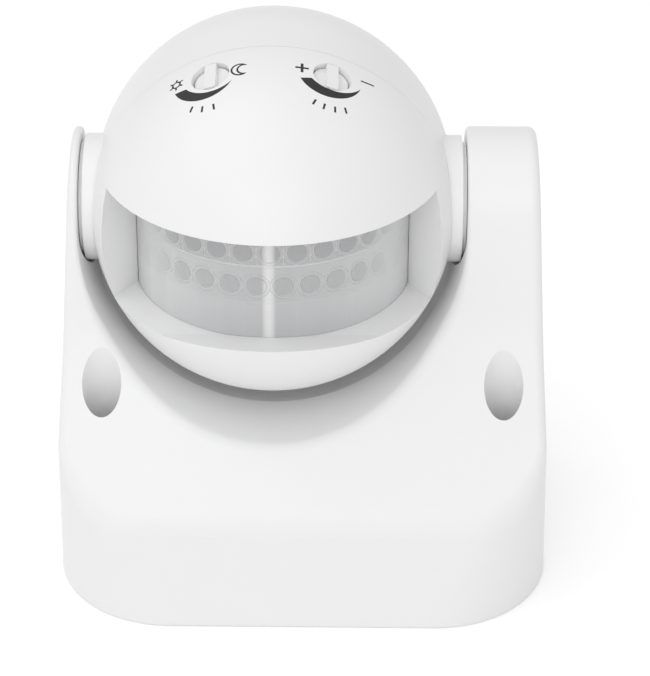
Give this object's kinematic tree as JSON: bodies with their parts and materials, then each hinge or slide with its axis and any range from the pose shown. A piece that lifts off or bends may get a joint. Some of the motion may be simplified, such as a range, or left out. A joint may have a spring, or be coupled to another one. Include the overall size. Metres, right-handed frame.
{
  "type": "motion sensor",
  "caption": "Wall or ceiling motion sensor: a round head with a recessed curved lens window and trimmer dials, tilting between the two arms of a moulded base.",
  "frame": {"origin": "middle of the base's flat mounting face, which lies against the wall or ceiling", "axes": "+Z straight out of the wall, +X along the head's tilt axis towards the thick arm, -Y the way the lens looks with the head untilted"},
  "size_m": [0.09, 0.0751, 0.1],
  "materials": {
    "white_abs": "satin moulded white plastic",
    "lens_poly": "translucent milky lens plastic",
    "frame_black": "matt black plastic",
    "dial_clear": "pale grey plastic",
    "plated_steel": "zinc plated",
    "can_steel": "bright drawn steel",
    "clamp_brass": "bright",
    "seal_rubber": "matt",
    "grommet_rubber": "matt",
    "block_nylon": "natural nylon",
    "board_green": "green board with a satin varnish",
    "relay_case": "blue",
    "cap_sleeve": "black sleeve",
    "film_case": "ochre",
    "socket_nylon": "natural nylon",
    "cell_resin": "amber resin",
    "window_dark": "dark filter window",
    "lead_sleeve": "dark grey sleeve",
    "ring_acetal": "natural acetal",
    "pot_body": "blue"
  },
  "bodies": {
    "base": {"base_housing": "white_abs", "base_plate": "white_abs", "base_seal": "seal_rubber", "plate_screws": "plated_steel", "cable_grommet": "grommet_rubber", "terminal_block": "block_nylon", "terminal_clamps": "clamp_brass", "terminal_screws": "plated_steel", "base_leads": "lead_sleeve"},
    "head": {"spring_washer": "plated_steel", "pivot_nut": "clamp_brass", "head_front_shell": "white_abs", "head_rear_shell": "white_abs", "shell_screws": "plated_steel", "fresnel_lens": "lens_poly", "lens_frame": "frame_black", "sensor_holder": "frame_black", "sensor_can": "can_steel", "sensor_window": "window_dark", "circuit_board": "board_green", "board_screws": "plated_steel", "relay": "relay_case", "round_capacitor": "cap_sleeve", "film_capacitor": "film_case", "lead_socket": "socket_nylon", "light_cell": "cell_resin", "light_potentiometer": "pot_body", "delay_potentiometer": "pot_body", "pivot_sleeve": "clamp_brass", "friction_rings": "ring_acetal", "head_leads": "lead_sleeve"},
    "light_knob": {"light_dial": "dial_clear"},
    "delay_knob": {"delay_dial": "dial_clear"}
  },
  "joints": [
    {"name": "head_tilt", "type": "hinge", "parent": "base", "child": "head", "pos_m": [-0.0055, 0.0083, 0.0676], "axis": [-1, 0, 0], "range_deg": [-40, 90]},
    {"name": "light_dial_turn", "type": "hinge", "parent": "head", "child": "light_knob", "pos_m": [-0.01539, -0.00241, 0.09576], "axis": [-0.3242, -0.2068, 0.9231], "range_deg": [-135, 135]},
    {"name": "delay_dial_turn", "type": "hinge", "parent": "head", "child": "delay_knob", "pos_m": [0.00439, -0.00241, 0.09576], "axis": [0.3242, -0.2068, 0.9231], "range_deg": [-135, 135]}
  ]
}
